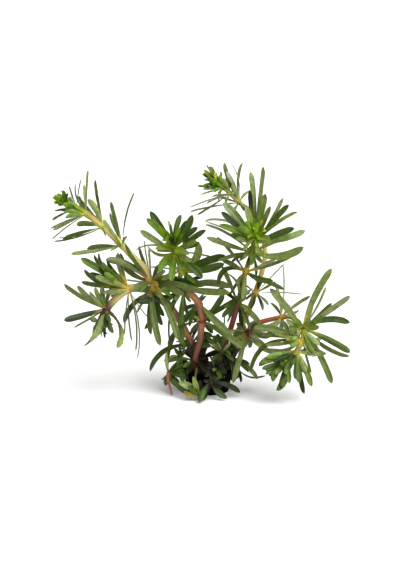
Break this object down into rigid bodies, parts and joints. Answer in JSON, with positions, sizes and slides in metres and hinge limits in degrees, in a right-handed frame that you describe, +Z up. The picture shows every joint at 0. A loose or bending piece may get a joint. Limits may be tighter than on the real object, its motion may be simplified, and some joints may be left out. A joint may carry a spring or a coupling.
{
  "type": "potted rotala aquarium plant",
  "caption": "Bunch of rotala stems with whorls of long narrow green leaves, arching out of a small low black net pot.",
  "frame": {"origin": "centre of the pot's flat underside, which stands on the surface", "axes": "+Z up, -Y towards the viewer of the bunch's front, +X to that viewer's right, along the bunch's greatest spread"},
  "size_m": [0.1645, 0.0633, 0.1268],
  "materials": {
    "pot_plastic": "moulded, satin black",
    "rooting_medium": "damp and fibrous, matt",
    "old_stem": "pinkish brown, waxy, darker at the nodes",
    "young_stem": "yellow to olive, waxy",
    "green_leaf": "mid green, smooth with a soft sheen",
    "young_leaf": "bright yellow-green, smooth with a soft sheen"
  },
  "bodies": {
    "root": {"back_ring_1": "green_leaf", "back_ring_2": "green_leaf", "back_ring_3": "green_leaf", "back_ring_4": "green_leaf", "back_stem": "young_stem", "back_tip": "young_leaf", "centre_branch": "young_stem", "centre_ring_1": "green_leaf", "centre_ring_2": "green_leaf", "centre_ring_3": "green_leaf", "centre_tip": "young_leaf", "foot_shoot_front": "young_stem", "foot_shoot_front_tip": "young_leaf", "foot_shoot_left": "young_stem", "foot_shoot_left_tip": "young_leaf", "growing_medium": "rooting_medium", "left_ring_1": "green_leaf", "left_ring_2": "green_leaf", "left_ring_3": "green_leaf", "left_ring_4": "green_leaf", "left_stem": "old_stem", "left_tip": "young_leaf", "low_shoot_front": "young_stem", "low_shoot_front_tip": "young_leaf", "low_shoot_left": "young_stem", "low_shoot_left_tip": "young_leaf", "main_ring_1": "green_leaf", "main_ring_2": "green_leaf", "main_ring_3": "green_leaf", "main_ring_4": "green_leaf", "main_ring_5": "green_leaf", "main_ring_6": "green_leaf", "main_ring_7": "green_leaf", "main_ring_8": "green_leaf", "main_ring_9": "green_leaf", "main_stem": "old_stem", "main_tip": "young_leaf", "middle_ring_1": "green_leaf", "middle_ring_2": "green_leaf", "middle_ring_3": "green_leaf", "middle_ring_4": "green_leaf", "middle_ring_5": "green_leaf", "middle_ring_6": "green_leaf", "middle_stem": "young_stem", "middle_tip": "young_leaf", "pot": "pot_plastic", "red_shoot": "old_stem", "red_shoot_ring": "green_leaf", "right_ring_1": "green_leaf", "right_ring_2": "green_leaf", "right_ring_3": "green_leaf", "right_ring_4": "green_leaf", "right_ring_5": "green_leaf", "right_ring_6": "green_leaf", "right_stem": "young_stem", "right_tip": "young_leaf"}
  },
  "joints": []
}
